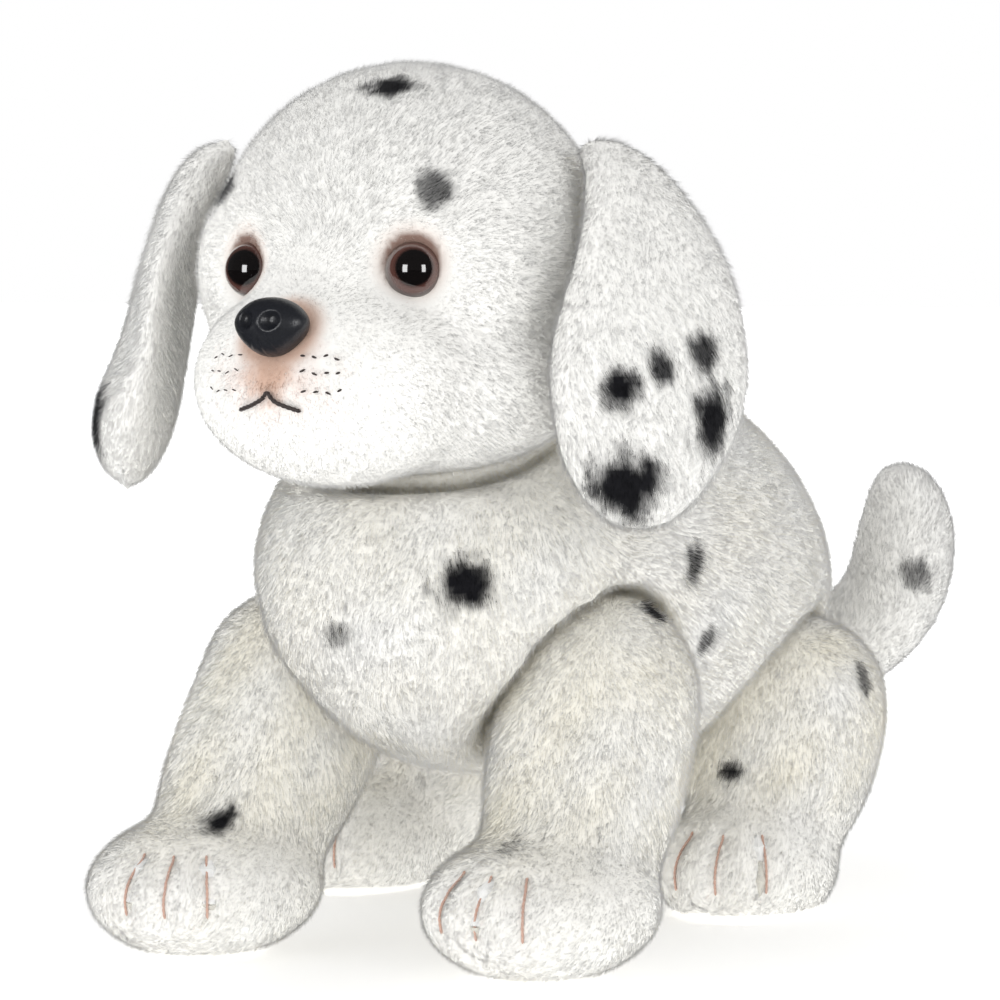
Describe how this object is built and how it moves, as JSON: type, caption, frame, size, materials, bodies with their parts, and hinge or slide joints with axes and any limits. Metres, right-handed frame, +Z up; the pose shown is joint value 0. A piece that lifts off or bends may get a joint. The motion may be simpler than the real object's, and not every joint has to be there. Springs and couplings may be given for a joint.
{
  "type": "plush dog",
  "caption": "Standing plush puppy in white with black spots: stuffed body, turning head, hanging ears that lift, curled tail and four bean-weighted legs.",
  "frame": {"origin": "bottom centre of the bounding box, on the surface that the paws stand on", "axes": "-Y is the way the puppy faces, +X is its left, +Z is up"},
  "size_m": [0.2182, 0.3308, 0.268],
  "materials": {
    "white_plush": "dense white polyester plush",
    "polyester_filling": "loose polyester fibre filling",
    "bean_pouch_cloth": "woven pouch of plastic pellets",
    "eye_plastic": "clear dome over a brown iris",
    "nose_plastic": "moulded satin black",
    "washer_plastic": "moulded white",
    "mouth_thread": "twisted dark brown thread",
    "toe_thread": "twisted pinkish tan thread"
  },
  "bodies": {
    "torso": {"back_panel_left": "white_plush", "back_panel_right": "white_plush", "belly_panel": "white_plush", "torso_stuffing": "polyester_filling", "seat_bean_pouch": "bean_pouch_cloth"},
    "neck": {"neck_skin": "white_plush", "neck_stuffing": "polyester_filling"},
    "head": {"head_side_left": "white_plush", "head_side_right": "white_plush", "head_gusset": "white_plush", "chin_panel": "white_plush", "head_stuffing": "polyester_filling", "eye_left": "eye_plastic", "eye_left_washer": "washer_plastic", "eye_right": "eye_plastic", "eye_right_washer": "washer_plastic", "nose": "nose_plastic", "nose_washer": "washer_plastic", "mouth_thread": "mouth_thread"},
    "ear_left": {"ear_left_outer_panel": "white_plush", "ear_left_inner_panel": "white_plush", "ear_left_wadding": "polyester_filling"},
    "ear_right": {"ear_right_outer_panel": "white_plush", "ear_right_inner_panel": "white_plush", "ear_right_wadding": "polyester_filling"},
    "tail": {"tail_back_panel": "white_plush", "tail_front_panel": "white_plush", "tail_stuffing": "polyester_filling"},
    "front_left": {"front_left_outer_panel": "white_plush", "front_left_inner_panel": "white_plush", "front_left_sole": "white_plush", "front_left_stuffing": "polyester_filling", "front_left_bean_pouch": "bean_pouch_cloth", "front_left_toe_thread": "toe_thread"},
    "front_right": {"front_right_outer_panel": "white_plush", "front_right_inner_panel": "white_plush", "front_right_sole": "white_plush", "front_right_stuffing": "polyester_filling", "front_right_bean_pouch": "bean_pouch_cloth", "front_right_toe_thread": "toe_thread"},
    "hind_left": {"hind_left_outer_panel": "white_plush", "hind_left_inner_panel": "white_plush", "hind_left_sole": "white_plush", "hind_left_stuffing": "polyester_filling", "hind_left_bean_pouch": "bean_pouch_cloth", "hind_left_toe_thread": "toe_thread"},
    "hind_right": {"hind_right_outer_panel": "white_plush", "hind_right_inner_panel": "white_plush", "hind_right_sole": "white_plush", "hind_right_stuffing": "polyester_filling", "hind_right_bean_pouch": "bean_pouch_cloth", "hind_right_toe_thread": "toe_thread"}
  },
  "joints": [
    {"name": "head_turn", "type": "hinge", "parent": "torso", "child": "neck", "pos_m": [0.0049, -0.0689, 0.16], "axis": [0, 0, 1], "range_deg": [-20, 20], "stiffness_Nm_per_rad": 1.5},
    {"name": "head_nod", "type": "hinge", "parent": "neck", "child": "head", "pos_m": [0.0049, -0.0689, 0.16], "axis": [-1, 0, 0], "range_deg": [-6, 12], "stiffness_Nm_per_rad": 4},
    {"name": "ear_left_lift", "type": "hinge", "parent": "head", "child": "ear_left", "pos_m": [0.0609, -0.0829, 0.243], "axis": [-0.5, -0.866, 0], "range_deg": [0, 70]},
    {"name": "ear_right_lift", "type": "hinge", "parent": "head", "child": "ear_right", "pos_m": [-0.0551, -0.0909, 0.245], "axis": [-0.5, 0.866, 0], "range_deg": [0, 60]},
    {"name": "tail_wag", "type": "hinge", "parent": "torso", "child": "tail", "pos_m": [0.0109, 0.1091, 0.072], "axis": [0, 0, 1], "range_deg": [-5, 17], "stiffness_Nm_per_rad": 0.6},
    {"name": "front_left_swing", "type": "hinge", "parent": "torso", "child": "front_left", "pos_m": [0.0539, -0.0549, 0.08], "axis": [-1, 0, 0], "range_deg": [-3, 8], "stiffness_Nm_per_rad": 6},
    {"name": "front_right_swing", "type": "hinge", "parent": "torso", "child": "front_right", "pos_m": [-0.0441, -0.0649, 0.08], "axis": [-1, 0, 0], "range_deg": [-3, 8], "stiffness_Nm_per_rad": 6},
    {"name": "hind_left_swing", "type": "hinge", "parent": "torso", "child": "hind_left", "pos_m": [0.0509, 0.0611, 0.056], "axis": [-1, 0, 0], "range_deg": [-3, 8], "stiffness_Nm_per_rad": 6},
    {"name": "hind_right_swing", "type": "hinge", "parent": "torso", "child": "hind_right", "pos_m": [-0.0411, 0.0571, 0.056], "axis": [-1, 0, 0], "range_deg": [-3, 8], "stiffness_Nm_per_rad": 6}
  ]
}
